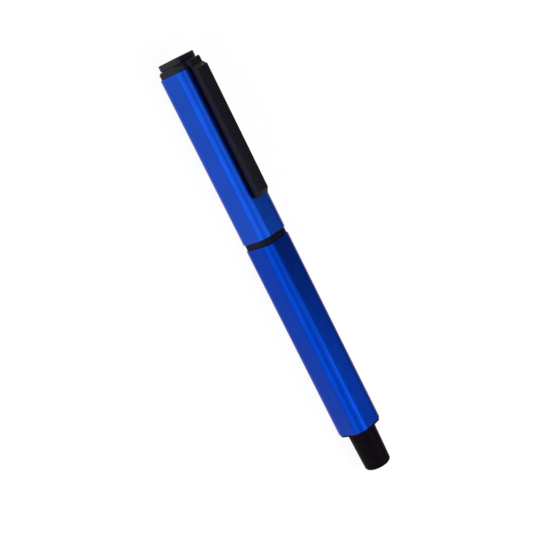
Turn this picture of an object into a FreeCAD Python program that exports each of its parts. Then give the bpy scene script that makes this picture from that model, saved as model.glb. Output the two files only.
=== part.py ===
import FreeCAD, Part
import math
import os
import re
import Sketcher

# A capped pen of rounded-square section, lying along X on one flat face with its clip upwards.
# Each body is drawn in pen coordinates: x = 0 at the tail's end, growing towards the finial, with
# y = z = 0 on the pen's axis. The Placement then centres the pen on x and lifts it onto z = 0.

# Driving dimensions, in millimetres (counts are plain numbers).
SIZES = {
    # outside
    "side": 11.6,
    "corner_radius": 3.1,
    "edge_chamfer": 0.3,
    "tail_length": 14.0,
    "barrel_length": 65.15,
    "band_gap": 1.85,
    "cap_length": 55.0,
    "collar_thickness": 2.0,
    "finial_height": 2.0,
    # barrel and tail plug
    "barrel_wall": 1.2,
    "insert_setback": 2.3,
    "insert_length": 11.0,
    "insert_wall": 0.5,
    "glue_groove_depth": 0.15,
    "glue_groove_width": 1.2,
    "flange_inset": 0.35,
    "flange_thickness": 0.65,
    "tail_inset": 1.2,
    "tail_taper": 0.35,
    "tail_end_radius": 1.0,
    "tail_end_wall": 1.8,
    "plug_spigot_length": 6.0,
    # cap
    "cap_wall": 0.9,
    "inner_cap_wall": 0.45,
    "inner_cap_setback": 1.2,
    "inner_cap_end_wall": 1.0,
    "inner_cap_room": 5.0,
    "bush_length": 7.3,
    "stud_diameter": 4.0,
    "stud_length": 6.0,
    "stud_clearance": 0.1,
    "collar_inset": 0.4,
    "collar_chamfer": 0.5,
    "finial_inset": 1.15,
    "finial_corner_radius": 2.2,
    "finial_edge_radius": 0.2,
    # clip
    "clip_width": 4.9,
    "clip_length": 42.9,
    "clip_thickness": 2.2,
    "clip_rise": 3.2,
    "clip_slope_drop": 0.25,
    "clip_neck_rise": 1.64,
    "clip_top_bevel": 1.3,
    "clip_tip_bevel": 1.5,
    "clip_tip_nose": 1.1,
    "clip_neck_chamfer": 0.4,
    "clip_edge_chamfer": 0.2,
    # writing section
    "band_inset": 0.35,
    "neck_clearance": 0.05,
    "shoulder_gap": 0.1,
    "shoulder_length": 2.6,
    "shoulder_end_length": 3.2,
    "clutch_width": 1.2,
    "clutch_groove_depth": 0.35,
    "clutch_side_clearance": 0.05,
    "running_clearance": 0.02,
    "grip_step": 0.15,
    "grip_ring_pitch": 2.2,
    "grip_plain_end": 6.5,
    "grip_ring_width": 0.8,
    "grip_ring_depth": 0.2,
    "nose_diameter": 6.2,
    "nose_tip_diameter": 4.6,
    "nose_ring_length": 1.6,
    "nose_spigot_diameter": 4.6,
    "nose_spigot_gap": 0.3,
    "nose_clearance": 0.25,
    # screw thread between section and barrel
    "thread_pitch": 1.0,
    "thread_depth": 0.5,
    "thread_turns": 8,
    "thread_clearance": 0.1,
    "thread_crest_width": 0.2,
    "thread_root_width": 0.64,
    "tenon_wall": 0.4,
    "tenon_length": 12.0,
    "tenon_chamfer": 0.3,
    "tenon_land": 0.35,
    # O-ring
    "seal_land": 0.7,
    "seal_groove_width": 1.15,
    "seal_groove_depth": 0.4,
    "seal_clearance": 0.05,
    # refill
    "refill_clearance": 0.15,
    "refill_length": 98.0,
    "tube_wall": 0.5,
    "end_plug_head": 1.2,
    "end_plug_spigot": 3.0,
    "ink_gap": 6.0,
    "follower_length": 3.0,
    "holder_spigot": 4.0,
    "holder_head": 1.5,
    "holder_neck": 9.5,
    "holder_diameter": 3.4,
    "holder_clearance": 0.15,
    "ink_channel": 1.5,
    "cone_length": 6.7,
    "cone_diameter": 2.4,
    "cone_tip_diameter": 0.9,
    "cone_spigot_diameter": 1.9,
    "cone_spigot_length": 3.0,
    "cone_feed_diameter": 0.5,
    "point_reach": 3.0,
    "point_room": 7.0,
    "ball_diameter": 0.7,
    "ball_clearance": 0.01,
    "ball_lip": 0.17,
    # refill spring
    "spring_wire": 0.4,
    "spring_turns": 8,
    "spring_inset": 0.15,
    "spring_clearance": 0.5,
}

# Sizes and places worked out from the driving dimensions: where pieces fit each other.
DERIVED = {
    "barrel_back": "tail_length",
    "barrel_front": "barrel_back + barrel_length",
    "cap_mouth": "barrel_front + band_gap",
    "cap_top": "cap_mouth + cap_length",
    "collar_top": "cap_top + collar_thickness",
    "pen_length": "collar_top + finial_height",
    "face": "side / 2",
    # diameters, from the outside inwards
    "barrel_bore": "side - 2 * barrel_wall",
    "cap_bore": "side - 2 * cap_wall",
    "inner_cap_bore": "cap_bore - 2 * inner_cap_wall",
    "clutch_outer": "inner_cap_bore - 2 * running_clearance",
    "shoulder": "inner_cap_bore - 2 * shoulder_gap",
    "clutch_groove": "shoulder - 2 * clutch_groove_depth",
    "grip_start": "shoulder - 2 * grip_step",
    "thread_crest": "barrel_bore - 2 * insert_wall - 2 * thread_clearance",
    "thread_root": "thread_crest - 2 * thread_depth",
    "section_bore": "thread_root - 2 * tenon_wall",
    "seal_groove": "thread_crest - 2 * seal_groove_depth",
    "refill_diameter": "section_bore - 2 * refill_clearance",
    "ink_diameter": "refill_diameter - 2 * tube_wall",
    "holder_bore": "holder_diameter + 2 * holder_clearance",
    "nose_bore": "cone_diameter + 2 * nose_clearance",
    "spring_outer": "refill_diameter - 2 * spring_inset",
    "tail_root": "side - 2 * tail_inset",
    "tail_tip": "tail_root - 2 * tail_taper",
    "tail_hollow": "spring_outer + 2 * spring_clearance",
    # places along the pen
    "bush_bottom": "cap_top - bush_length",
    "inner_cap_end": "bush_bottom - inner_cap_room",
    "inner_cap_floor": "inner_cap_end - inner_cap_end_wall",
    "inner_cap_mouth": "cap_mouth + inner_cap_setback",
    "ball_tip": "inner_cap_floor - point_room",
    "ball_centre": "ball_tip - ball_diameter / 2",
    "nose_front": "ball_tip - point_reach",
    "nose_back": "nose_front - nose_ring_length",
    "cone_back": "ball_tip - cone_length",
    "nose_spigot_back": "cone_back + nose_spigot_gap",
    "holder_step": "cone_back - holder_neck",
    "holder_back": "holder_step - holder_head",
    "tube_front": "holder_back",
    "refill_back": "ball_tip - refill_length",
    "tube_back": "refill_back + end_plug_head",
    "follower_back": "tube_back + end_plug_spigot + ink_gap",
    "ink_back": "follower_back + follower_length",
    "ink_front": "holder_back - holder_spigot",
    "clutch_back": "cap_mouth + shoulder_length",
    "clutch_front": "clutch_back + clutch_width",
    "grip_back": "clutch_front + shoulder_end_length",
    "tenon_back": "barrel_front - tenon_length",
    "seal_front": "barrel_front - seal_land",
    "seal_back": "seal_front - seal_groove_width",
    "thread_front": "seal_back - tenon_land",
    "insert_front": "barrel_front - insert_setback",
    "insert_back": "insert_front - insert_length",
    # the clip's lines, as heights above the axis
    "clip_outer": "face + clip_rise",
    "clip_outer_tip": "clip_outer - clip_slope_drop",
    "clip_neck_top": "face + clip_neck_rise",
    "clip_neck_root": "face - collar_inset - collar_chamfer",
    "clip_inner": "clip_outer - clip_thickness",
    "clip_inner_tip": "clip_outer_tip - clip_thickness",
    "clip_tip": "cap_top - clip_length",
}

QUARTER_TURN = math.pi / 2

doc = FreeCAD.newDocument("capped_pen")
sheet = doc.addObject("Spreadsheet::Sheet", "Sizes")
for row, (alias, number) in enumerate(SIZES.items(), start=1):
    sheet.set(f"A{row}", alias.replace("_", " "))
    sheet.set(f"B{row}", str(number))
    sheet.setAlias(f"B{row}", alias)
doc.recompute()

nodes = []


def expression(formula):
    """The document expression for a formula written with the names above."""

    def swap(match):
        word = match.group()
        return f"({expression(DERIVED[word])})" if word in DERIVED else f"Sizes.{word}"

    return re.sub(r"[a-z_]+", swap, str(formula))


def value(formula):
    """The number a formula has at the sheet's present sizes."""
    return float(sheet.evalExpression(expression(formula)))


def bind(item, prop, formula):
    item.setExpression(prop, expression(formula))


def new_body(label):
    """An empty body for one node, placed like every other piece of the pen."""
    body = doc.addObject("PartDesign::Body", label)
    body.Label = label
    bind(body, "Placement.Base.x", "-(pen_length) / 2")
    bind(body, "Placement.Base.z", "face")
    nodes.append(body)
    return body


def new_sketch(body, name, role, offset=None):
    """A sketch on one of the body's own origin planes, moved along its normal by offset."""
    sketch = body.newObject("Sketcher::SketchObject", f"{body.Label}_{name}")
    plane = next(item for item in body.Origin.OriginFeatures if item.Role == role)
    sketch.AttachmentSupport = [(plane, "")]
    sketch.MapMode = "FlatFace"
    if offset is not None:
        bind(sketch, "AttachmentOffset.Base.z", offset)
    return sketch


def tie(sketch, kind, first, formula):
    """Ties a corner's x or y (or a curve's size) to a formula; 0 puts the corner on an axis."""
    if formula == "0":
        axis = -2 if kind == "DistanceX" else -1
        sketch.addConstraint(Sketcher.Constraint("PointOnObject", first[0], first[1], axis))
        return
    origin = (-1, 1) if kind.startswith("Distance") else ()
    index = sketch.addConstraint(Sketcher.Constraint(kind, *origin, *first, value(formula)))
    bind(sketch, f"Constraints[{index}]", formula)


def outline(body, name, corners):
    """A closed outline of straight lines in the XZ plane, through corners (x, z)."""
    sketch = new_sketch(body, name, "XZ_Plane")
    spots = [FreeCAD.Vector(value(x), value(z), 0) for x, z in corners]
    count = len(spots)
    for i in range(count):
        sketch.addGeometry(Part.LineSegment(spots[i], spots[(i + 1) % count]), False)
    for i in range(count):
        sketch.addConstraint(Sketcher.Constraint("Coincident", i, 2, (i + 1) % count, 1))
    for i, (x, z) in enumerate(corners):
        tie(sketch, "DistanceX", (i, 1), x)
        tie(sketch, "DistanceY", (i, 1), z)
    return sketch


def rounded_square(body, name, width, radius, offset):
    """A square with round corners, centred on the axis, across the pen at x = offset."""
    sketch = new_sketch(body, name, "YZ_Plane", offset)
    half = value(width) / 2
    bend = value(radius)
    flat = half - bend
    for i in range(4):
        first_angle = (i - 1) * QUARTER_TURN
        outwards = FreeCAD.Vector(round(math.cos(first_angle)), round(math.sin(first_angle)), 0)
        along = FreeCAD.Vector(-outwards.y, outwards.x, 0)
        side_middle = outwards * half
        circle = Part.Circle((outwards + along) * flat, FreeCAD.Vector(0, 0, 1), bend)
        sketch.addGeometry(Part.LineSegment(side_middle - along * flat, side_middle + along * flat), False)
        sketch.addGeometry(Part.ArcOfCircle(circle, first_angle, first_angle + QUARTER_TURN), False)
    for i in range(4):
        line, arc, next_line = 2 * i, 2 * i + 1, (2 * i + 2) % 8
        sketch.addConstraint(Sketcher.Constraint("Tangent", line, 2, arc, 1))
        sketch.addConstraint(Sketcher.Constraint("Tangent", arc, 2, next_line, 1))
        sketch.addConstraint(Sketcher.Constraint("Vertical" if i % 2 else "Horizontal", line))
    for arc in (3, 5, 7):
        sketch.addConstraint(Sketcher.Constraint("Equal", 1, arc))
    sketch.addConstraint(Sketcher.Constraint("Symmetric", 1, 3, 5, 3, -1, 1))
    tie(sketch, "Radius", (1,), radius)
    tie(sketch, "DistanceX", (2, 1), f"({width}) / 2")
    tie(sketch, "DistanceY", (4, 1), f"({width}) / 2")
    return sketch


def disc(body, name, diameter, offset):
    """A circle about the axis, across the pen at x = offset."""
    sketch = new_sketch(body, name, "YZ_Plane", offset)
    circle = Part.Circle(FreeCAD.Vector(0, 0, 0), FreeCAD.Vector(0, 0, 1), value(diameter) / 2)
    sketch.addGeometry(circle, False)
    sketch.addConstraint(Sketcher.Constraint("Coincident", 0, 3, -1, 1))
    tie(sketch, "Diameter", (0,), diameter)
    return sketch


def small_circle(body, name, x, z, diameter):
    """A circle beside the axis in the XZ plane: the section of a ring or of a coil's wire."""
    sketch = new_sketch(body, name, "XZ_Plane")
    centre = FreeCAD.Vector(value(x), value(z), 0)
    sketch.addGeometry(Part.Circle(centre, FreeCAD.Vector(0, 0, 1), value(diameter) / 2), False)
    tie(sketch, "DistanceX", (0, 3), x)
    tie(sketch, "DistanceY", (0, 3), z)
    tie(sketch, "Diameter", (0,), diameter)
    return sketch


def half_disc(body, name, x, diameter):
    """Half a disc standing on the axis, centred at x: it turns into a ball or its socket."""
    sketch = new_sketch(body, name, "XZ_Plane")
    centre = FreeCAD.Vector(value(x), 0, 0)
    radius = value(diameter) / 2
    circle = Part.Circle(centre, FreeCAD.Vector(0, 0, 1), radius)
    reach = FreeCAD.Vector(radius, 0, 0)
    sketch.addGeometry(Part.ArcOfCircle(circle, 0, 2 * QUARTER_TURN), False)
    sketch.addGeometry(Part.LineSegment(centre - reach, centre + reach), False)
    sketch.addConstraint(Sketcher.Constraint("Coincident", 0, 2, 1, 1))
    sketch.addConstraint(Sketcher.Constraint("Coincident", 1, 2, 0, 1))
    sketch.addConstraint(Sketcher.Constraint("PointOnObject", 0, 3, -1))
    sketch.addConstraint(Sketcher.Constraint("Horizontal", 1))
    tie(sketch, "DistanceX", (0, 3), x)
    tie(sketch, "Diameter", (0,), diameter)
    sketch.addConstraint(Sketcher.Constraint("PointOnObject", 0, 1, -1))
    return sketch


def feature(body, kind, name, sketch, **bound):
    """A PartDesign feature of a sketch, with its sizes bound to formulas."""
    item = body.newObject(f"PartDesign::{kind}", f"{body.Label}_{name}")
    item.Profile = sketch
    for prop, formula in bound.items():
        bind(item, prop, formula)
    return item


def turn(body, kind, name, sketch):
    """A Revolution or Groove: the sketch swept once round the pen's axis."""
    before = body_volume(body)
    item = feature(body, kind, name, sketch)
    item.ReferenceAxis = (sketch, ["H_Axis"])
    item.Angle = 360
    check_volume(body, before, grows=kind == "Revolution")
    return item


def pad(body, name, sketch, length, both_ways=False):
    before = body_volume(body)
    item = feature(body, "Pad", name, sketch, Length=length)
    if both_ways:
        item.SideType = "Symmetric"
    check_volume(body, before, grows=True)
    return item


def pocket(body, name, sketch, length):
    """A cut from the sketch's plane over a length, towards +x."""
    before = body_volume(body)
    item = feature(body, "Pocket", name, sketch, Length=length)
    item.Reversed = True
    check_volume(body, before, grows=False)
    return item


def helix(body, kind, name, sketch, height, turn_count):
    """A right-handed helix of the sketch about the axis: a thread's ridge, its cut or a coil."""
    before = body_volume(body)
    item = feature(body, kind, name, sketch)
    item.ReferenceAxis = (sketch, ["H_Axis"])
    item.Mode = "height-turns-angle"
    item.Angle = 0
    item.Growth = 0
    item.LeftHanded = False
    bind(item, "Height", height)
    bind(item, "Turns", turn_count)
    check_volume(body, before, grows=kind == "AdditiveHelix")
    return item


def dress(body, kind, name, base, parts, **bound):
    """A Fillet or Chamfer on named edges or faces of an earlier feature."""
    item = body.newObject(f"PartDesign::{kind}", f"{body.Label}_{name}")
    item.Base = (base, parts)
    for prop, formula in bound.items():
        bind(item, prop, formula)
    doc.recompute()
    return item


def body_volume(body):
    return 0.0 if body.Shape.isNull() else body.Shape.Volume


def check_volume(body, before, grows):
    doc.recompute()
    after = body_volume(body)
    if (after > before) != grows or abs(after - before) < 1e-6:
        raise ValueError(f"{body.Label}: a feature left the volume at {after:.4f} from {before:.4f}")


def end_face(item, x):
    """The name of the face that lies across the pen at x."""
    place = value(x)
    for i, face in enumerate(item.Shape.Faces, start=1):
        box = face.BoundBox
        if box.XLength < 1e-6 and abs(box.XMin - place) < 1e-6:
            return f"Face{i}"
    raise ValueError(f"{item.Label} has no face at x = {place}")


def edges_where(item, test):
    """The names of the edges whose bounding box passes the test."""
    names = [f"Edge{i}" for i, edge in enumerate(item.Shape.Edges, start=1) if test(edge.BoundBox)]
    if not names:
        raise ValueError(f"{item.Label} has no such edge")
    return names


def square_tube(label, back, length, bore):
    """A rounded-square tube with a round bore and a small chamfer round both ends."""
    body = new_body(label)
    block = pad(body, "block", rounded_square(body, "section", "side", "corner_radius", back), length)
    ends = [end_face(block, back), end_face(block, f"{back} + {length}")]
    dress(body, "Chamfer", "ends", block, ends, Size="edge_chamfer")
    pocket(body, "bore", disc(body, "bore_circle", bore, back), length)
    return body


def thread_profile(body, name, x, radius, depth, extra):
    """A trapezium on the thread's root line: the ridge itself, or wider by extra for its cut."""
    root = f"(thread_root_width / 2 + {extra})"
    crest = f"(thread_crest_width / 2 + {extra})"
    return outline(
        body,
        name,
        [
            (f"{x} - {root}", radius),
            (f"{x} + {root}", radius),
            (f"{x} + {crest}", f"{radius} + {depth}"),
            (f"{x} - {crest}", f"{radius} + {depth}"),
        ],
    )


# ---- barrel ------------------------------------------------------------------------------------

square_tube("barrel_shell", "barrel_back", "barrel_length", "barrel_bore")


def make_barrel_insert():
    """Brass bush glued in the barrel's front, with the female thread."""
    body = new_body("barrel_insert")
    outer = "barrel_bore / 2"
    bore = "thread_root / 2 + thread_clearance"
    groove = f"{outer} - glue_groove_depth"
    middle = "insert_back + insert_length / 2"
    sketch = outline(
        body,
        "profile",
        [
            ("insert_back", bore),
            ("insert_back", outer),
            (f"{middle} - glue_groove_width / 2", outer),
            (f"{middle} - glue_groove_width / 2", groove),
            (f"{middle} + glue_groove_width / 2", groove),
            (f"{middle} + glue_groove_width / 2", outer),
            ("insert_front", outer),
            ("insert_front", bore),
        ],
    )
    turn(body, "Revolution", "ring", sketch)
    # The cut starts whole pitches before the male ridge, behind the bush, and runs out in front.
    cut = thread_profile(
        body,
        "cut",
        "thread_front - thread_pitch - (thread_turns + 4) * thread_pitch",
        "thread_root / 2",
        "(thread_depth + thread_clearance)",
        "thread_clearance",
    )
    helix(body, "SubtractiveHelix", "thread", cut, "(thread_turns + 7) * thread_pitch", "thread_turns + 7")


make_barrel_insert()


def make_tail_plug():
    """Black end of the barrel: a thin square flange, a taper behind it and a spigot inside."""
    body = new_body("tail_plug")
    shape = outline(
        body,
        "profile",
        [
            ("0", "0"),
            ("0", "tail_tip / 2"),
            ("barrel_back - flange_thickness / 2", "tail_root / 2"),
            ("barrel_back", "barrel_bore / 2"),
            ("barrel_back + plug_spigot_length", "barrel_bore / 2"),
            ("barrel_back + plug_spigot_length", "tail_hollow / 2"),
            ("tail_end_wall", "tail_hollow / 2"),
            ("tail_end_wall", "0"),
        ],
    )
    plug = turn(body, "Revolution", "plug", shape)
    rim = edges_where(plug, lambda box: box.XMax < 1e-6)
    dress(body, "Fillet", "tail_round", plug, rim, Radius="tail_end_radius")
    flange = rounded_square(
        body,
        "flange_section",
        "side - 2 * flange_inset",
        "corner_radius - flange_inset",
        "barrel_back - flange_thickness",
    )
    pad(body, "flange", flange, "flange_thickness")
    hollow = disc(body, "hollow_circle", "tail_hollow", "barrel_back - flange_thickness")
    pocket(body, "hollow", hollow, "flange_thickness")


make_tail_plug()


def make_refill_spring():
    """Light coil between the tail plug's floor and the refill's end."""
    body = new_body("refill_spring")
    wire = small_circle(
        body,
        "wire",
        "tail_end_wall + spring_wire / 2",
        "(spring_outer - spring_wire) / 2",
        "spring_wire",
    )
    height = "refill_back - tail_end_wall - spring_wire"
    helix(body, "AdditiveHelix", "coil", wire, height, "spring_turns")


make_refill_spring()

# ---- writing section ---------------------------------------------------------------------------


def make_centre_band():
    """Thin square plate clamped between the barrel and the section's shoulder."""
    body = new_body("centre_band")
    outer = rounded_square(
        body, "section", "side - 2 * band_inset", "corner_radius - band_inset", "barrel_front"
    )
    pad(body, "plate", outer, "band_gap")
    hole = disc(body, "hole_circle", "thread_crest + 2 * neck_clearance", "barrel_front")
    pocket(body, "hole", hole, "band_gap")


make_centre_band()


def make_seal_ring():
    """Rubber O-ring in the section's rear groove, just inside the barrel's mouth."""
    body = new_body("seal_ring")
    inner = "(seal_groove / 2 + running_clearance)"
    outer = "(barrel_bore / 2 - seal_clearance)"
    ring = small_circle(
        body, "wire", "(seal_back + seal_front) / 2", f"({inner} + {outer}) / 2", f"({outer} - {inner})"
    )
    turn(body, "Revolution", "ring", ring)


make_seal_ring()


def grip_radius(x):
    """Radius of the grip's straight taper at x."""
    return (
        f"(grip_start / 2 - (grip_start - nose_diameter) / 2"
        f" * ({x} - (grip_back)) / ((nose_back) - (grip_back)))"
    )


def make_grip_section():
    """Black section: threaded tenon, shoulder, clutch groove and a ringed, tapered grip."""
    body = new_body("grip_section")
    corners = [
        ("tenon_back", "section_bore / 2"),
        ("tenon_back", "thread_root / 2 - tenon_chamfer"),
        ("tenon_back + tenon_chamfer", "thread_root / 2"),
        ("thread_front", "thread_root / 2"),
        ("thread_front", "thread_crest / 2"),
        ("seal_back", "thread_crest / 2"),
        ("seal_back", "seal_groove / 2"),
        ("seal_front", "seal_groove / 2"),
        ("seal_front", "thread_crest / 2"),
        ("cap_mouth", "thread_crest / 2"),
        ("cap_mouth", "shoulder / 2"),
        ("clutch_back", "shoulder / 2"),
        ("clutch_back", "clutch_groove / 2"),
        ("clutch_front", "clutch_groove / 2"),
        ("clutch_front", "shoulder / 2"),
        ("grip_back", "shoulder / 2"),
        ("grip_back", "grip_start / 2"),
    ]
    ring_count = int(value("(nose_back - grip_back - grip_plain_end) / grip_ring_pitch"))
    for i in range(ring_count):
        start = f"(grip_back + grip_ring_pitch * {i + 1})"
        end = f"({start} + grip_ring_width)"
        corners += [
            (start, grip_radius(start)),
            (f"{start} + grip_ring_depth", f"{grip_radius(start)} - grip_ring_depth"),
            (f"{end} - grip_ring_depth", f"{grip_radius(end)} - grip_ring_depth"),
            (end, grip_radius(end)),
        ]
    corners += [
        ("nose_back", "nose_diameter / 2"),
        ("nose_back", "nose_spigot_diameter / 2"),
        ("nose_spigot_back", "nose_spigot_diameter / 2"),
        ("nose_spigot_back", "holder_bore / 2"),
        ("holder_step", "holder_bore / 2"),
        ("holder_step", "section_bore / 2"),
    ]
    turn(body, "Revolution", "turned", outline(body, "profile", corners))
    # The ridge starts inside the root cylinder by the clearance, so that it grows out of solid.
    ridge = thread_profile(
        body,
        "ridge",
        "thread_front - thread_pitch - thread_turns * thread_pitch",
        "thread_root / 2 - thread_clearance",
        "(thread_depth + thread_clearance)",
        "0",
    )
    helix(body, "AdditiveHelix", "thread", ridge, "thread_turns * thread_pitch", "thread_turns")


make_grip_section()


def make_nose_ring():
    """Bright ring round the section's mouth, pushed in by its spigot."""
    body = new_body("nose_ring")
    sketch = outline(
        body,
        "profile",
        [
            ("nose_spigot_back", "nose_bore / 2"),
            ("nose_spigot_back", "nose_spigot_diameter / 2"),
            ("nose_back", "nose_spigot_diameter / 2"),
            ("nose_back", "nose_diameter / 2"),
            ("nose_front", "nose_tip_diameter / 2"),
            ("nose_front", "nose_bore / 2"),
        ],
    )
    turn(body, "Revolution", "ring", sketch)


make_nose_ring()


def make_clutch_ring():
    """Plain ring that turns in the section's groove and grips the inner cap."""
    body = new_body("clutch_ring")
    inner = "clutch_groove / 2 + running_clearance"
    back = "clutch_back + clutch_side_clearance"
    front = "clutch_front - clutch_side_clearance"
    outer = "clutch_outer / 2"
    sketch = outline(body, "profile", [(back, inner), (back, outer), (front, outer), (front, inner)])
    turn(body, "Revolution", "ring", sketch)


make_clutch_ring()

# ---- cap ---------------------------------------------------------------------------------------

square_tube("cap_shell", "cap_mouth", "cap_length", "cap_bore")


def make_inner_cap():
    """Plastic liner: closed towards the finial, open at the mouth."""
    body = new_body("inner_cap")
    sketch = outline(
        body,
        "profile",
        [
            ("inner_cap_mouth", "inner_cap_bore / 2"),
            ("inner_cap_mouth", "cap_bore / 2"),
            ("inner_cap_end", "cap_bore / 2"),
            ("inner_cap_end", "0"),
            ("inner_cap_floor", "0"),
            ("inner_cap_floor", "inner_cap_bore / 2"),
        ],
    )
    turn(body, "Revolution", "liner", sketch)


make_inner_cap()


def make_cap_bush():
    """Brass bush in the cap's top, bored for the finial's stud."""
    body = new_body("cap_bush")
    sketch = outline(
        body,
        "profile",
        [
            ("bush_bottom", "stud_diameter / 2"),
            ("bush_bottom", "cap_bore / 2"),
            ("cap_top", "cap_bore / 2"),
            ("cap_top", "stud_diameter / 2"),
        ],
    )
    turn(body, "Revolution", "bush", sketch)


make_cap_bush()


def make_clip_collar():
    """Square plate on the cap's top, with the neck that carries the clip on its upper side."""
    body = new_body("clip_collar")
    outer = rounded_square(
        body, "section", "side - 2 * collar_inset", "corner_radius - collar_inset", "cap_top"
    )
    plate = pad(body, "plate", outer, "collar_thickness")
    dress(body, "Chamfer", "rim", plate, [end_face(plate, "collar_top")], Size="collar_chamfer")
    neck = outline(
        body,
        "neck_profile",
        [
            ("cap_top", "clip_neck_root"),
            ("cap_top", "clip_neck_top"),
            ("collar_top - clip_neck_chamfer", "clip_neck_top"),
            ("collar_top", "clip_neck_top - clip_neck_chamfer"),
            ("collar_top", "clip_neck_root"),
        ],
    )
    pad(body, "neck", neck, "clip_width", both_ways=True)
    hole = disc(body, "hole_circle", "stud_diameter + 2 * stud_clearance", "cap_top")
    pocket(body, "hole", hole, "collar_thickness")


make_clip_collar()


def make_clip_arm():
    """Straight black bar over the cap's upper face, bevelled at both ends."""
    body = new_body("clip_arm")
    side_view = outline(
        body,
        "profile",
        [
            ("clip_tip", "clip_inner_tip"),
            ("cap_top", "clip_inner"),
            ("cap_top", "clip_neck_top"),
            ("cap_top - clip_top_bevel", "clip_outer"),
            ("clip_tip + clip_tip_bevel", "clip_outer_tip"),
            ("clip_tip", "clip_inner_tip + clip_tip_nose"),
        ],
    )
    bar = pad(body, "bar", side_view, "clip_width", both_ways=True)
    width = value("clip_width")
    inner = value("clip_inner")

    def along_the_top(box):
        return box.YLength < 1e-6 and abs(box.YMin) > width / 2 - 1e-6 and box.ZMin > inner

    dress(body, "Chamfer", "edges", bar, edges_where(bar, along_the_top), Size="clip_edge_chamfer")


make_clip_arm()


def make_finial():
    """Stepped square button on the collar, with the stud that holds the cap's top together."""
    body = new_body("finial")
    width = "side - 2 * finial_inset"
    head = pad(
        body,
        "head",
        rounded_square(body, "section", width, "finial_corner_radius", "collar_top"),
        "finial_height",
    )
    top = [end_face(head, "pen_length")]
    dress(body, "Fillet", "top_round", head, top, Radius="finial_edge_radius")
    stud = disc(body, "stud_circle", "stud_diameter", "cap_top - stud_length")
    pad(body, "stud", stud, "stud_length + collar_thickness + finial_height / 2")


make_finial()

# ---- refill ------------------------------------------------------------------------------------


def make_turned(label, corners):
    """A node made by turning one outline."""
    body = new_body(label)
    turn(body, "Revolution", "turned", outline(body, "profile", corners))
    return body


make_turned(
    "refill_end_plug",
    [
        ("refill_back", "0"),
        ("refill_back", "refill_diameter / 2"),
        ("tube_back", "refill_diameter / 2"),
        ("tube_back", "ink_diameter / 2"),
        ("tube_back + end_plug_spigot", "ink_diameter / 2"),
        ("tube_back + end_plug_spigot", "0"),
    ],
)
make_turned(
    "refill_tube",
    [
        ("tube_back", "ink_diameter / 2"),
        ("tube_back", "refill_diameter / 2"),
        ("tube_front", "refill_diameter / 2"),
        ("tube_front", "ink_diameter / 2"),
    ],
)
make_turned(
    "ink_follower",
    [
        ("follower_back", "0"),
        ("follower_back", "ink_diameter / 2"),
        ("ink_back", "ink_diameter / 2"),
        ("ink_back", "0"),
    ],
)
make_turned(
    "ink_column",
    [
        ("ink_back", "0"),
        ("ink_back", "ink_diameter / 2"),
        ("ink_front", "ink_diameter / 2"),
        ("ink_front", "0"),
    ],
)
make_turned(
    "tip_holder",
    [
        ("ink_front", "ink_channel / 2"),
        ("ink_front", "ink_diameter / 2"),
        ("holder_back", "ink_diameter / 2"),
        ("holder_back", "refill_diameter / 2"),
        ("holder_step", "refill_diameter / 2"),
        ("holder_step", "holder_diameter / 2"),
        ("cone_back", "holder_diameter / 2"),
        ("cone_back", "cone_spigot_diameter / 2"),
        ("cone_back - cone_spigot_length", "cone_spigot_diameter / 2"),
        ("cone_back - cone_spigot_length", "ink_channel / 2"),
    ],
)


def make_point_cone():
    """Bright writing cone with its feed hole and the socket that holds the ball."""
    body = make_turned(
        "point_cone",
        [
            ("cone_back - cone_spigot_length", "cone_feed_diameter / 2"),
            ("cone_back - cone_spigot_length", "cone_spigot_diameter / 2"),
            ("cone_back", "cone_spigot_diameter / 2"),
            ("cone_back", "cone_diameter / 2"),
            ("cone_back + cone_length / 3", "cone_diameter / 2"),
            ("ball_centre + ball_lip", "cone_tip_diameter / 2"),
            ("ball_centre + ball_lip", "cone_feed_diameter / 2"),
        ],
    )
    socket = half_disc(body, "socket_profile", "ball_centre", "ball_diameter + 2 * ball_clearance")
    turn(body, "Groove", "socket", socket)


make_point_cone()


def make_writing_ball():
    """Hard ball that rolls in the cone's socket."""
    body = new_body("writing_ball")
    turn(body, "Revolution", "ball", half_disc(body, "profile", "ball_centre", "ball_diameter"))


make_writing_ball()

# ---- checks and files --------------------------------------------------------------------------

doc.recompute()
for item in doc.Objects:
    if "Invalid" in item.State or "Error" in item.State:
        raise ValueError(f"{item.Label} did not recompute: {item.State}")
for body in nodes:
    shape = body.Shape
    if shape.isNull() or not shape.isValid() or len(shape.Solids) != 1:
        raise ValueError(f"{body.Label} is not one valid solid")

os.makedirs("parts", exist_ok=True)
for body in nodes:
    body.Shape.exportStep(os.path.join("parts", f"{body.Label}.step"))
    print(f"{body.Label}: {body.Shape.Volume:.3f} mm3")
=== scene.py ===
import math

import bpy
from mathutils import Matrix, Vector


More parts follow.
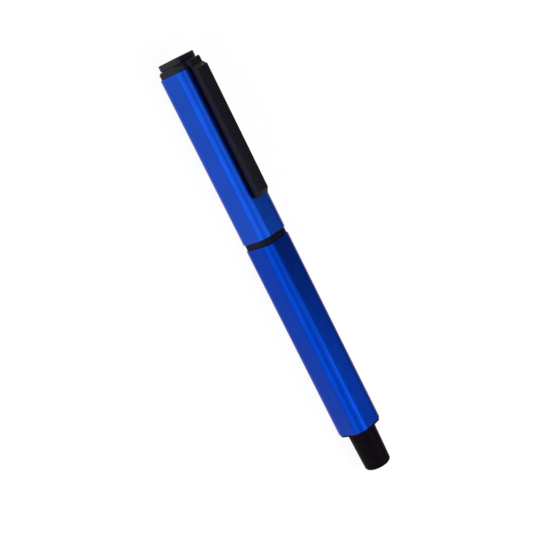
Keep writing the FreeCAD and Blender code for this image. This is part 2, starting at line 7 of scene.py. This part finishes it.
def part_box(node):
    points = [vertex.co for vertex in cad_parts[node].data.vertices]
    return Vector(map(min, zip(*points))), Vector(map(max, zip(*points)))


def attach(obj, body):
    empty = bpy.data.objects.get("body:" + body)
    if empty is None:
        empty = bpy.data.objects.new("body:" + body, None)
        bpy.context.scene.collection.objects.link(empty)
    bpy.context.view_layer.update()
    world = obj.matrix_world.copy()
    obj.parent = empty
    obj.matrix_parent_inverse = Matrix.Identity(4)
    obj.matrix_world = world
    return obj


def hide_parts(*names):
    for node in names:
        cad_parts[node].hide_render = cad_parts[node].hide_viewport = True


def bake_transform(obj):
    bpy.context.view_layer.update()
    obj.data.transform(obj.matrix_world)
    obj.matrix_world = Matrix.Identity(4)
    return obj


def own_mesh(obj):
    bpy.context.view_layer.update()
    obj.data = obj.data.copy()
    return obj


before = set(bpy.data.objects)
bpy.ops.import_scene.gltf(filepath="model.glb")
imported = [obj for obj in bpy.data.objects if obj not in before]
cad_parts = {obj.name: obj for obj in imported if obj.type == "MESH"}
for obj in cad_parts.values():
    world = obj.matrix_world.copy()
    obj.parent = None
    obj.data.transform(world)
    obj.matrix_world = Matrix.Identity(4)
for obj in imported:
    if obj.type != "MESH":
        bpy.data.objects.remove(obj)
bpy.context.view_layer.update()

MM = 0.001
CORNER_STEPS = 14      # facets round each corner of a square outline
FLAT_STEPS = 12        # strips along each of its sides
EDGE_STEPS = 5         # facets across each rounded edge
SHARP_EDGE = math.radians(34)      # edges that turn more than this stay sharp
SMALLEST_RADIUS = 0.2 * MM
NOISE_LOW, NOISE_HIGH = 0.3, 0.7   # the part of a noise's range where it mostly lies

# ---- places from the frame ----------------------------------------------------------------------

BARREL_LOW, BARREL_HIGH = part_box("barrel_shell")
CAP_LOW, CAP_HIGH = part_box("cap_shell")
BAND_LOW, BAND_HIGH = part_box("centre_band")
COLLAR_LOW, COLLAR_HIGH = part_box("clip_collar")
FINIAL_LOW, FINIAL_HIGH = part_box("finial")
PLUG_LOW, PLUG_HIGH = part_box("tail_plug")
CLIP_LOW, CLIP_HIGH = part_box("clip_arm")

FACE = (BARREL_HIGH.z - BARREL_LOW.z) / 2            # axis to a flat face
AXIS_Z = (BARREL_HIGH.z + BARREL_LOW.z) / 2
CORNER = 3.1 * MM
STUD = 2.0 * MM                                      # radius of the finial's stud
STUD_HOLE = 2.1 * MM
BARREL_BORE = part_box("barrel_insert")[1].y
CAP_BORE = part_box("inner_cap")[1].y


# ---- mesh building ------------------------------------------------------------------------------

def square_ring(x, half, radius):
    """Points of a rounded square across the pen at x."""
    middle = Vector((x, 0, AXIS_Z))
    points = []
    flat = half - radius
    spread = math.atan2(flat, half)
    for corner in range(4):
        a = math.pi / 2 * corner
        along = Vector((0, math.cos(a), math.sin(a)))
        across = Vector((0, -math.sin(a), math.cos(a)))
        centre = middle + (along + across) * flat
        for step in range(CORNER_STEPS + 1):
            b = math.pi / 2 * step / CORNER_STEPS
            points.append(centre + (along * math.cos(b) + across * math.sin(b)) * radius)
        for step in range(1, FLAT_STEPS):
            b = spread * (1 - 2 * step / FLAT_STEPS)
            points.append(middle + across * half + along * half * math.tan(b))
    return points


def round_ring(x, radius):
    """Points of a circle across the pen at x, one for each point of a square ring."""
    points = []
    for like in square_ring(x, FACE, CORNER):
        a = math.atan2(like.z - AXIS_Z, like.y)
        points.append(Vector((x, radius * math.cos(a), AXIS_Z + radius * math.sin(a))))
    return points


def edge(x, half, radius, size, outwards):
    """Rings that round a square edge: from the flat end face out to the long faces, or back."""
    rings = []
    for step in range(EDGE_STEPS + 1):
        a = math.pi / 2 * step / EDGE_STEPS
        inset = size * (1 - math.sin(a))
        back = size * (1 - math.cos(a))
        rings.append(square_ring(x + outwards * -back, half - inset, max(radius - inset, SMALLEST_RADIUS)))
    return rings


def skin(name, rings, material, joined=False):
    """A piece from rings of equal length: joined end to end, or closed by a fan at each end."""
    verts = [tuple(p) for ring in rings for p in ring]
    count = len(rings[0])
    faces = []
    last = len(rings) if joined else len(rings) - 1
    for r in range(last):
        a = r * count
        b = (r + 1) % len(rings) * count
        for i in range(count):
            j = (i + 1) % count
            faces.append((a + i, a + j, b + j, b + i))
    if not joined:
        for ring, start in ((rings[0], 0), (rings[-1], (len(rings) - 1) * count)):
            centre = sum(ring, Vector()) / count
            middle = len(verts)
            verts.append(tuple(centre))
            for i in range(count):
                pair = (start + i, start + (i + 1) % count)
                faces.append((middle, pair[1], pair[0]) if start == 0 else (middle, *pair))
    mesh = bpy.data.meshes.new(name)
    mesh.from_pydata(verts, [], faces)
    mesh.validate()
    piece = bpy.data.objects.new(name, mesh)
    bpy.context.scene.collection.objects.link(piece)
    tidy_normals(piece)
    mesh.materials.append(material)
    return piece


def tidy_normals(piece):
    """Outward normals, smooth except over sharp edges."""
    bpy.context.view_layer.objects.active = piece
    piece.select_set(True)
    bpy.ops.object.mode_set(mode="EDIT")
    bpy.ops.mesh.select_all(action="SELECT")
    bpy.ops.mesh.normals_make_consistent(inside=False)
    bpy.ops.object.mode_set(mode="OBJECT")
    bpy.ops.object.shade_smooth_by_angle(angle=SHARP_EDGE)
    piece.select_set(False)


# ---- materials ----------------------------------------------------------------------------------

def new_material(name):
    material = bpy.data.materials.new(name)
    material.use_nodes = True
    tree = material.node_tree
    return material, tree, tree.nodes["Principled BSDF"]


def stretched(tree, scale):
    """Object coordinates stretched by scale: marks that run along the pen have a small x."""
    coords = tree.nodes.new("ShaderNodeTexCoord")
    mapping = tree.nodes.new("ShaderNodeMapping")
    mapping.inputs["Scale"].default_value = scale
    tree.links.new(coords.outputs["Object"], mapping.inputs["Vector"])
    return mapping.outputs["Vector"]


def noise(tree, scale, detail, roughness=0.55):
    node = tree.nodes.new("ShaderNodeTexNoise")
    node.inputs["Scale"].default_value = 1.0
    node.inputs["Detail"].default_value = detail
    node.inputs["Roughness"].default_value = roughness
    tree.links.new(stretched(tree, scale), node.inputs["Vector"])
    return node.outputs["Fac"]


def ramp(tree, source, low, high):
    node = tree.nodes.new("ShaderNodeMapRange")
    node.inputs["From Min"].default_value = NOISE_LOW
    node.inputs["From Max"].default_value = NOISE_HIGH
    node.inputs["To Min"].default_value = low
    node.inputs["To Max"].default_value = high
    tree.links.new(source, node.inputs["Value"])
    return node.outputs["Result"]


def colours(tree, source, low, high):
    node = tree.nodes.new("ShaderNodeValToRGB")
    node.color_ramp.elements[0].position = NOISE_LOW
    node.color_ramp.elements[0].color = (*low, 1)
    node.color_ramp.elements[1].position = NOISE_HIGH
    node.color_ramp.elements[1].color = (*high, 1)
    tree.links.new(source, node.inputs["Fac"])
    return node.outputs["Color"]


def bump(tree, shader, source, height, strength):
    """Surface relief of a height in metres."""
    node = tree.nodes.new("ShaderNodeBump")
    node.inputs["Strength"].default_value = strength
    node.inputs["Distance"].default_value = height
    tree.links.new(source, node.inputs["Height"])
    tree.links.new(node.outputs["Normal"], shader.inputs["Normal"])


def satin_metal(name, low, high, roughness, coat=0.0):
    """Brushed and blasted metal under a thin colour: fine grain along the pen, faint clouds."""
    material, tree, shader = new_material(name)
    fine = noise(tree, (600, 26000, 26000), 4.0, 0.7)
    cloud = noise(tree, (160, 420, 420), 2.0)
    tree.links.new(colours(tree, cloud, low, high), shader.inputs["Base Color"])
    tree.links.new(
        ramp(tree, fine, roughness - 0.05, roughness + 0.05), shader.inputs["Roughness"]
    )
    shader.inputs["Metallic"].default_value = 1.0
    shader.inputs["Coat Weight"].default_value = coat
    shader.inputs["Coat Roughness"].default_value = 0.34
    bump(tree, shader, fine, 0.0015 * MM, 0.6)
    return material


def plain_surface(name, low, high, roughness, specular, relief=0.002):
    """Plastic, rubber or black coating: even speckle in colour, gloss and relief."""
    material, tree, shader = new_material(name)
    speckle = noise(tree, (9000, 9000, 9000), 4.0, 0.65)
    cloud = noise(tree, (500, 500, 500), 2.0)
    tree.links.new(colours(tree, cloud, low, high), shader.inputs["Base Color"])
    tree.links.new(
        ramp(tree, speckle, roughness - 0.06, roughness + 0.06), shader.inputs["Roughness"]
    )
    shader.inputs["Specular IOR Level"].default_value = specular
    bump(tree, shader, speckle, relief * MM, 0.8)
    return material


# Cap and barrel share one blue finish, here in lit and shaded copies: the cap's base colour is painted
# lighter and the barrel's painted darker, as painted light and shade
CAP_BLUE_PAINTED_LIGHT = satin_metal("cap_blue_painted_light", (0.0008, 0.050, 0.425), (0.0014, 0.058, 0.465), 0.36, 0.12)
BARREL_BLUE_PAINTED_SHADE = satin_metal("barrel_blue_painted_shade", (0.0003, 0.034, 0.345), (0.0006, 0.039, 0.375), 0.36, 0.02)
CLIP_BLACK = plain_surface("clip_black", (0.0012, 0.0004, 0.0050), (0.0024, 0.0012, 0.0084), 0.46, 0.18)
COLLAR_BLACK = plain_surface("collar_black", (0.0030, 0.0010, 0.0076), (0.0046, 0.0020, 0.0108), 0.5, 0.21)
FINIAL_BLACK = plain_surface("finial_black", (0.0046, 0.0012, 0.0080), (0.0064, 0.0024, 0.0112), 0.5, 0.25)
BAND_BLACK = plain_surface("band_black", (0.0010, 0.0006, 0.0050), (0.0020, 0.0012, 0.0074), 0.5, 0.10)
TAIL_BLACK = plain_surface("tail_black", (0.0024, 0.0004, 0.0026), (0.0036, 0.0010, 0.0042), 0.5, 0.03)
SECTION_BLACK = plain_surface("section_black", (0.008, 0.008, 0.009), (0.012, 0.012, 0.014), 0.38, 0.4)
LINER_PLASTIC = plain_surface("liner_plastic", (0.012, 0.012, 0.014), (0.02, 0.02, 0.022), 0.55, 0.4)
CLUTCH_PLASTIC = plain_surface("clutch_plastic", (0.02, 0.02, 0.022), (0.03, 0.03, 0.032), 0.35, 0.5)
SEAL_RUBBER = plain_surface("seal_rubber", (0.010, 0.010, 0.010), (0.018, 0.018, 0.018), 0.75, 0.3, 0.004)
BRASS = satin_metal("thread_brass", (0.62, 0.40, 0.12), (0.74, 0.50, 0.18), 0.3)
NOSE_CHROME = satin_metal("nose_chrome", (0.55, 0.55, 0.57), (0.66, 0.66, 0.68), 0.14)
CONE_STEEL = satin_metal("cone_steel", (0.46, 0.45, 0.43), (0.6, 0.59, 0.57), 0.24)
BALL_STEEL = satin_metal("ball_steel", (0.25, 0.25, 0.27), (0.34, 0.34, 0.36), 0.12)
SPRING_STEEL = satin_metal("spring_steel", (0.4, 0.4, 0.41), (0.55, 0.55, 0.56), 0.26)
TUBE_PLASTIC = plain_surface("tube_plastic", (0.62, 0.63, 0.64), (0.72, 0.73, 0.74), 0.3, 0.5)
HOLDER_PLASTIC = plain_surface("holder_plastic", (0.01, 0.01, 0.012), (0.016, 0.016, 0.018), 0.4, 0.4)
END_PLUG_PLASTIC = plain_surface("end_plug_plastic", (0.66, 0.66, 0.64), (0.76, 0.76, 0.74), 0.45, 0.5)
INK = plain_surface("ink", (0.002, 0.003, 0.012), (0.004, 0.005, 0.02), 0.12, 0.6)
FOLLOWER_GEL = plain_surface("follower_gel", (0.5, 0.42, 0.2), (0.62, 0.54, 0.3), 0.15, 0.6)

CARRIED_OVER = {
    "barrel_insert": BRASS,
    "cap_bush": BRASS,
    "seal_ring": SEAL_RUBBER,
    "grip_section": SECTION_BLACK,
    "nose_ring": NOSE_CHROME,
    "clutch_ring": CLUTCH_PLASTIC,
    "inner_cap": LINER_PLASTIC,
    "refill_end_plug": END_PLUG_PLASTIC,
    "refill_tube": TUBE_PLASTIC,
    "ink_follower": FOLLOWER_GEL,
    "ink_column": INK,
    "tip_holder": HOLDER_PLASTIC,
    "point_cone": CONE_STEEL,
    "writing_ball": BALL_STEEL,
}
for node, material in CARRIED_OVER.items():
    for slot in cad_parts[node].material_slots:
        slot.material = material


# ---- pieces -------------------------------------------------------------------------------------

def square_tube(name, low, high, bore, material):
    """A rounded-square metal tube with a round bore and softly broken ends."""
    size = 0.3 * MM
    lip = 0.12 * MM
    rings = [round_ring(low.x + lip, bore), round_ring(low.x, bore + lip)]
    rings += edge(low.x, FACE, CORNER, size, -1)
    rings += list(reversed(edge(high.x, FACE, CORNER, size, 1)))
    rings += [round_ring(high.x, bore + lip), round_ring(high.x - lip, bore)]
    return skin(name, rings, joined=True, material=material)


def make_tubes():
    barrel = square_tube("barrel_tube", BARREL_LOW, BARREL_HIGH, BARREL_BORE, BARREL_BLUE_PAINTED_SHADE)
    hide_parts("barrel_shell")
    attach(barrel, "barrel")
    cap = square_tube("cap_tube", CAP_LOW, CAP_HIGH, CAP_BORE, CAP_BLUE_PAINTED_LIGHT)
    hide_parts("cap_shell")
    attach(cap, "cap")


def make_band():
    """The black plate between cap and barrel, its edges just broken."""
    half = BAND_HIGH.y
    radius = CORNER - (FACE - half)
    size = 0.12 * MM
    hole = 4.05 * MM
    rings = [round_ring(BAND_LOW.x, hole)]
    rings += edge(BAND_LOW.x, half, radius, size, -1)
    rings += list(reversed(edge(BAND_HIGH.x, half, radius, size, 1)))
    rings.append(round_ring(BAND_HIGH.x, hole))
    band = skin("band_plate", rings, joined=True, material=BAND_BLACK)
    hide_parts("centre_band")
    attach(band, "section")


def make_tail_plug():
    """Square flange, small root fillet, taper and a well-rounded end."""
    half = PLUG_HIGH.y
    radius = CORNER - (FACE - half)
    flange_back = BARREL_LOW.x - 0.65 * MM
    root, tip = 4.575 * MM, 4.25 * MM
    fillet = 0.25 * MM
    end_round = 1.0 * MM
    hollow = 3.3 * MM
    floor = PLUG_LOW.x + 1.8 * MM
    lead_in = 0.2 * MM
    round_steps = 10

    def taper(x):
        return tip + (root - tip) * (x - PLUG_LOW.x) / (flange_back - PLUG_LOW.x)

    rings = []
    for step in range(round_steps + 1):
        a = math.pi / 2 * step / round_steps
        x = PLUG_LOW.x + end_round * (1 - math.cos(a))
        rings.append(round_ring(x, taper(x) - end_round * (1 - math.sin(a))))
    for share in (0.25, 0.5, 0.75):
        x = PLUG_LOW.x + (flange_back - PLUG_LOW.x) * share
        rings.append(round_ring(x, taper(x)))
    for step in range(EDGE_STEPS + 1):
        a = math.pi / 2 * step / EDGE_STEPS
        x = flange_back - fillet * (1 - math.sin(a))
        rings.append(round_ring(x, root + fillet * (1 - math.cos(a))))
    rings += edge(flange_back, half, radius, 0.1 * MM, -1)
    rings.append(square_ring(BARREL_LOW.x, half, radius))
    rings.append(round_ring(BARREL_LOW.x, BARREL_BORE))
    rings.append(round_ring(PLUG_HIGH.x - lead_in, BARREL_BORE))
    rings.append(round_ring(PLUG_HIGH.x, BARREL_BORE - lead_in))
    rings.append(round_ring(PLUG_HIGH.x, hollow))
    rings.append(round_ring(floor, hollow))
    plug = skin("tail_plug_turned", rings, material=TAIL_BLACK)
    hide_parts("tail_plug")
    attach(plug, "barrel")


def make_collar():
    """Square plate on the cap's top with a chamfered upper edge, its corners just softened."""
    half = COLLAR_HIGH.y
    radius = CORNER - (FACE - half)
    rings = [round_ring(COLLAR_LOW.x, STUD_HOLE)]
    rings += edge(COLLAR_LOW.x, half, radius, 0.1 * MM, -1)
    chamfer = 0.5 * MM
    soft = 0.1 * MM
    start = soft * 0.4
    left = chamfer - soft * 0.6
    rings.append(square_ring(COLLAR_HIGH.x - chamfer - soft, half, radius))
    rings.append(square_ring(COLLAR_HIGH.x - chamfer + start, half - start, radius - start))
    rings.append(square_ring(COLLAR_HIGH.x - soft * 0.6, half - left, radius - left))
    rings.append(square_ring(COLLAR_HIGH.x, half - chamfer - soft, radius - chamfer))
    rings.append(round_ring(COLLAR_HIGH.x, STUD_HOLE))
    collar = skin("collar_plate", rings, joined=True, material=COLLAR_BLACK)
    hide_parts("clip_collar")
    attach(collar, "cap")


def make_finial():
    """Stepped square button with a narrow relief under its head, and its stud."""
    half = FACE - 1.15 * MM
    radius = 2.2 * MM
    lead_in = 0.3 * MM
    relief = 0.22 * MM
    relief_length = 0.16 * MM
    base = COLLAR_HIGH.x
    rings = [
        round_ring(FINIAL_LOW.x, STUD - lead_in),
        round_ring(FINIAL_LOW.x + lead_in, STUD),
        round_ring(base, STUD),
        square_ring(base, half - relief, radius - relief),
        square_ring(base + relief_length, half - relief, radius - relief),
    ]
    rings += edge(base + relief_length, half, radius, 0.1 * MM, -1)
    rings += list(reversed(edge(FINIAL_HIGH.x, half, radius, 0.22 * MM, 1)))
    rings.append(square_ring(FINIAL_HIGH.x, half * 0.5, radius * 0.5))
    button = skin("finial_button", rings, material=FINIAL_BLACK)
    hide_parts("finial")
    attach(button, "cap")


def clip_station(x, top, under, half_width, size):
    """A rectangle with rounded corners across the clip at x, from its under side to its top."""
    middle = (top + under) / 2
    half_height = (top - under) / 2
    size = min(size, half_height * 0.6)
    points = []
    for sy, sz, start in ((1, 1, 0), (-1, 1, 1), (-1, -1, 2), (1, -1, 3)):
        for step in range(EDGE_STEPS):
            a = math.pi / 2 * (start + step / (EDGE_STEPS - 1))
            across = sy * (half_width - size) + size * math.cos(a)
            lift = sz * (half_height - size) + size * math.sin(a)
            points.append(Vector((x, across, middle + lift)))
    return points


def make_clip():
    """The clip's bar in one sheet of metal with its neck: up, over the bevel, along and down."""
    half_width = CLIP_HIGH.y
    size = 0.22 * MM
    outer_top = CLIP_HIGH.z
    top_x = CLIP_HIGH.x
    tip_x = CLIP_LOW.x
    bar = 2.2 * MM
    slope_drop = 0.25 * MM
    top_bevel = 1.3 * MM
    tip_bevel = 1.5 * MM
    tip_nose = 1.1 * MM
    neck_z = COLLAR_HIGH.z
    neck_chamfer = 0.4 * MM
    neck_root = AXIS_Z + FACE - 0.9 * MM
    bevel_x = top_x - top_bevel
    tip_bevel_x = tip_x + tip_bevel
    outer_tip = outer_top - slope_drop
    outer = [
        (COLLAR_HIGH.x, neck_z - neck_chamfer),
        (COLLAR_HIGH.x - neck_chamfer, neck_z),
        (top_x, neck_z),
        (bevel_x, outer_top),
        (tip_bevel_x, outer_tip),
        (tip_x, outer_tip - bar + tip_nose),
    ]

    def outer_z(x):
        for (xa, za), (xb, zb) in zip(outer, outer[1:]):
            if xb <= x <= xa:
                return za + (zb - za) * (xa - x) / (xa - xb)
        return outer[-1][1]

    def inner_z(x):
        if x > top_x:
            return neck_root
        return outer_top - bar - slope_drop * (top_x - x) / (top_x - tip_x)

    def between(low, high, steps):
        return [low + (high - low) * k / steps for k in range(1, steps)]

    near = 0.08 * MM                  # rings this close to a bend keep it crisp
    stations = [tip_x, tip_x + 0.1 * MM]
    stations += between(tip_x, tip_bevel_x, 6)
    stations += [tip_bevel_x - near, tip_bevel_x, tip_bevel_x + near]
    stations += between(tip_bevel_x, bevel_x, 40)
    stations += [bevel_x - near, bevel_x, bevel_x + near]
    stations += between(bevel_x, top_x, 8)
    stations += [top_x - 0.05 * MM, top_x, top_x + 0.02 * MM]
    stations += [top_x + 0.4 * MM * k for k in range(1, 4)]
    stations += [COLLAR_HIGH.x - back * MM for back in (0.45, 0.4, 0.2, 0)]
    rings = [clip_station(x, outer_z(x), inner_z(x), half_width, size) for x in stations]
    clip = skin("clip_bar", rings, material=CLIP_BLACK)
    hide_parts("clip_arm")
    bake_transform(clip)


def make_spring():
    """The coil behind the refill, on its own copy of the frame's coil mesh."""
    spring = bpy.data.objects.new("refill_coil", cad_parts["refill_spring"].data.copy())
    bpy.context.scene.collection.objects.link(spring)
    spring.data.materials.clear()
    spring.data.materials.append(SPRING_STEEL)
    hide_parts("refill_spring")
    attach(spring, "barrel")
    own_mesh(spring)


make_tubes()
make_band()
make_tail_plug()
make_collar()
make_finial()
make_clip()
make_spring()

# ---- floor, light and camera --------------------------------------------------------------------

def make_floor():
    mesh = bpy.data.meshes.new("floor")
    reach = 6.0
    corners = [(-reach, -reach, 0), (reach, -reach, 0), (reach, reach, 0), (-reach, reach, 0)]
    mesh.from_pydata(corners, [], [(0, 1, 2, 3)])
    floor = bpy.data.objects.new("floor", mesh)
    bpy.context.scene.collection.objects.link(floor)
    material, _, shader = new_material("white_table")
    shader.inputs["Base Color"].default_value = (0.08, 0.08, 0.08, 1)
    shader.inputs["Roughness"].default_value = 0.2
    shader.inputs["Specular IOR Level"].default_value = 0.5
    shader.inputs["Emission Color"].default_value = (1, 1, 1, 1)
    shader.inputs["Emission Strength"].default_value = 0.93
    mesh.materials.append(material)


def panel(name, angle, spread, power, low_x=-1.0, high_x=0.6):
    """A long soft lamp beside the pen, facing it squarely.

    Its angle goes round the pen's axis from +Y up towards +Z and its spread is the angle that it
    fills, both in degrees; it runs along the pen from low_x to high_x, and power is in watts.
    """
    reach = 0.9
    a = math.radians(angle)
    light = bpy.data.lights.new(name, "AREA")
    light.shape = "RECTANGLE"
    light.size = high_x - low_x
    light.size_y = 2 * reach * math.tan(math.radians(spread / 2))
    light.energy = power
    along = Vector((1, 0, 0))
    outwards = Vector((0, math.cos(a), math.sin(a)))
    lamp = bpy.data.objects.new(name, light)
    turn = Matrix((along, outwards.cross(along), outwards)).transposed().to_4x4()
    place = Vector(((low_x + high_x) / 2, 0, AXIS_Z)) + outwards * reach
    lamp.matrix_world = Matrix.Translation(place) @ turn
    bpy.context.scene.collection.objects.link(lamp)


def make_light():
    world = bpy.data.worlds.new("studio")
    world.use_nodes = True
    world.node_tree.nodes["Background"].inputs["Color"].default_value = (1, 1, 1, 1)
    world.node_tree.nodes["Background"].inputs["Strength"].default_value = 0.1
    bpy.context.scene.world = world
    panel("side_light", 15, 30, 4.9)
    panel("shoulder_light", 42, 20, 2.1)
    panel("top_light", 79, 34, 4.5)
    panel("far_light", 112, 26, 4.0, high_x=-0.2)
    panel("fill_light", 160, 30, 0.6)


def make_camera():
    """Looks down on the pen's upper left edge from a little towards the finial."""
    lean = math.radians(26.7)
    swing = math.radians(10.1)
    height = math.radians(49)
    distance = 0.3641
    level = math.cos(swing)
    towards = Vector((math.sin(swing), level * math.cos(height), level * math.sin(height)))
    down_pen = (Vector((-1, 0, 0)) + towards * math.sin(swing)).normalized()
    across_pen = towards.cross(down_pen)
    right = down_pen * math.sin(lean) + across_pen * math.cos(lean)
    up = across_pen * math.sin(lean) - down_pen * math.cos(lean)
    target = Vector((2.34 * MM, 0, AXIS_Z)) - across_pen * (3.55 * MM)
    camera = bpy.data.objects.new("camera", bpy.data.cameras.new("camera"))
    camera.data.sensor_width = 36.0
    camera.data.lens = 81.05
    camera.data.clip_start = 0.01
    camera.data.clip_end = 50.0
    turn = Matrix((right, up, towards)).transposed().to_4x4()
    camera.matrix_world = Matrix.Translation(target + towards * distance) @ turn
    bpy.context.scene.collection.objects.link(camera)
    bpy.context.scene.camera = camera


make_floor()
make_light()
make_camera()
bpy.context.scene.view_settings.view_transform = "Standard"
